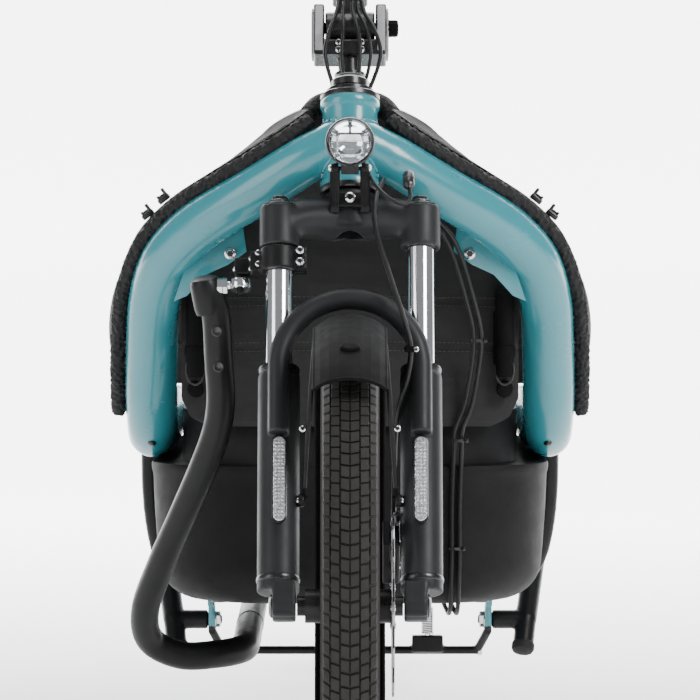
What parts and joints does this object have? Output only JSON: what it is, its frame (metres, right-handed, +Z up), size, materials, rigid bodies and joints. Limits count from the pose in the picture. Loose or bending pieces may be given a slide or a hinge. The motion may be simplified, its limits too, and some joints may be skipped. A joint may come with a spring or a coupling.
{
  "type": "cargo bicycle",
  "caption": "Front-loading cargo bicycle with a foam-sided cargo box between the wheels, suspension fork, linked rod steering, belt drive and folding stand.",
  "frame": {"origin": "middle of the whole bicycle on the ground", "axes": "+Z up, the front wheel points to -Y, +X is the rider's left"},
  "size_m": [0.6752, 2.686, 1.1176],
  "materials": {
    "teal_paint": "gloss",
    "chrome_steel": "polished",
    "matt_black_metal": "matt",
    "rim_black": "satin",
    "spoke_steel": "satin",
    "fender_black": "matt",
    "tub_plastic": "moulded texture",
    "foam_shell": "beaded foam",
    "panel_fabric": "woven",
    "floor_aluminium": "brushed",
    "drive_plastic": "satin",
    "belt_rubber": "matt",
    "tyre_rubber": "matt",
    "grip_rubber": "matt",
    "lamp_black": "gloss",
    "lamp_glass": "clear",
    "reflector_clear": "prismatic",
    "red_lens": "gloss",
    "saddle_leather": "matt"
  },
  "bodies": {
    "frame": {"front_head_tube": "teal_paint", "frame_tube_left": "teal_paint", "frame_tube_right": "teal_paint", "gusset_bolts": "chrome_steel", "steering_mast": "teal_paint", "main_tube": "teal_paint", "lower_tube": "teal_paint", "seat_tube": "teal_paint", "rear_stay_left": "teal_paint", "rear_stay_right": "teal_paint", "stand_yoke": "teal_paint", "motor": "drive_plastic", "battery": "drive_plastic", "cargo_tub": "tub_plastic", "floor_plate": "floor_aluminium", "side_wall_left": "foam_shell", "side_wall_right": "foam_shell", "front_panel": "panel_fabric", "rear_panel": "panel_fabric", "cover_fittings": "fender_black", "headset_cups": "matt_black_metal", "rear_fender": "fender_black", "rear_light": "red_lens", "belt": "belt_rubber", "front_cables": "belt_rubber"},
    "fork": {"fork_crown": "matt_black_metal", "stanchions": "chrome_steel", "steering_clamp": "matt_black_metal", "lamp_bracket": "matt_black_metal", "lamp_cable": "belt_rubber"},
    "lamp": {"lamp_shell": "lamp_black", "lamp_lens": "lamp_glass"},
    "lowers": {"fork_lowers": "matt_black_metal", "front_fender": "fender_black", "fork_reflectors": "reflector_clear", "front_caliper": "matt_black_metal", "brake_hose": "belt_rubber"},
    "front_wheel": {"front_tyre": "tyre_rubber", "front_rim": "rim_black", "front_spokes": "spoke_steel", "front_hub": "rim_black"},
    "rod": {"steering_rod": "matt_black_metal", "rod_joint": "chrome_steel"},
    "column": {"steering_shaft": "matt_black_metal", "stem_base": "matt_black_metal"},
    "handlebar": {"handlebar": "matt_black_metal", "grips": "grip_rubber", "bar_controls": "matt_black_metal"},
    "lever_left": {"brake_lever_left": "matt_black_metal"},
    "lever_right": {"brake_lever_right": "matt_black_metal"},
    "rear_wheel": {"rear_tyre": "tyre_rubber", "rear_rim": "rim_black", "rear_spokes": "spoke_steel", "rear_hub": "rim_black"},
    "crank": {"crank_set": "matt_black_metal"},
    "left_pedal": {"pedal_left": "belt_rubber"},
    "right_pedal": {"pedal_right": "belt_rubber"},
    "seat": {"seat_post": "matt_black_metal", "saddle": "saddle_leather"},
    "stand": {"stand_legs": "matt_black_metal"}
  },
  "joints": [
    {"name": "steering", "type": "hinge", "parent": "frame", "child": "fork", "pos_m": [0, -1.04611, 0.25203], "axis": [0, 0.342, 0.9397], "range_deg": [-35, 35]},
    {"name": "column_steering", "type": "hinge", "parent": "frame", "child": "column", "pos_m": [0, -0.109, 0.185], "axis": [0, 0.342, 0.9397], "range_deg": [-35, 35]},
    {"name": "rod_steering", "type": "hinge", "parent": "fork", "child": "rod", "pos_m": [-0.112, -0.92606, 0.58186], "axis": [0, 0.342, 0.9397], "range_deg": [-35, 35]},
    {"name": "fork_travel", "type": "slide", "parent": "fork", "child": "lowers", "axis": [0, 0.342, 0.9397], "range_m": [0, 0.045], "stiffness_N_per_m": 5000, "springref_m": -0.03, "deforming": ["brake_hose"]},
    {"name": "front_wheel_spin", "type": "hinge", "parent": "lowers", "child": "front_wheel", "pos_m": [0, -1.079, 0.264], "axis": [1, 0, 0], "continuous": true},
    {"name": "lamp_tilt", "type": "hinge", "parent": "fork", "child": "lamp", "pos_m": [0, -0.963, 0.7], "axis": [1, 0, 0], "range_deg": [-12, 12], "deforming": ["lamp_cable"]},
    {"name": "bar_tilt", "type": "hinge", "parent": "column", "child": "handlebar", "pos_m": [0, 0.13725, 0.86158], "axis": [1, 0, 0], "range_deg": [-15, 25]},
    {"name": "brake_lever_left_pull", "type": "hinge", "parent": "handlebar", "child": "lever_left", "pos_m": [0.187, 0.226, 1.06446], "axis": [0, 0.342, 0.9397], "range_deg": [0, 11], "stiffness_Nm_per_rad": 1, "springref_deg": -5.73},
    {"name": "brake_lever_right_pull", "type": "hinge", "parent": "handlebar", "child": "lever_right", "pos_m": [-0.187, 0.226, 1.06446], "axis": [0, 0.342, 0.9397], "range_deg": [-11, 0], "stiffness_Nm_per_rad": 1, "springref_deg": 5.73},
    {"name": "rear_wheel_spin", "type": "hinge", "parent": "frame", "child": "rear_wheel", "pos_m": [0, 0.991, 0.335], "axis": [1, 0, 0], "continuous": true},
    {"name": "crank_spin", "type": "hinge", "parent": "frame", "child": "crank", "pos_m": [0, 0.541, 0.29], "axis": [1, 0, 0], "continuous": true},
    {"name": "pedal_left_spin", "type": "hinge", "parent": "crank", "child": "left_pedal", "pos_m": [0, 0.369, 0.29], "axis": [1, 0, 0], "continuous": true},
    {"name": "pedal_right_spin", "type": "hinge", "parent": "crank", "child": "right_pedal", "pos_m": [0, 0.713, 0.29], "axis": [1, 0, 0], "continuous": true},
    {"name": "saddle_height", "type": "slide", "parent": "frame", "child": "seat", "axis": [0, 0.309, 0.9511], "range_m": [-0.04, 0.08]},
    {"name": "stand_fold", "type": "hinge", "parent": "frame", "child": "stand", "pos_m": [0, -0.199, 0.172], "axis": [-1, 0, 0], "range_deg": [0, 150]}
  ],
  "couplings": [
    {"joint": "column_steering", "follows": "steering", "ratio": 1},
    {"joint": "rod_steering", "follows": "steering", "ratio": -1}
  ]
}
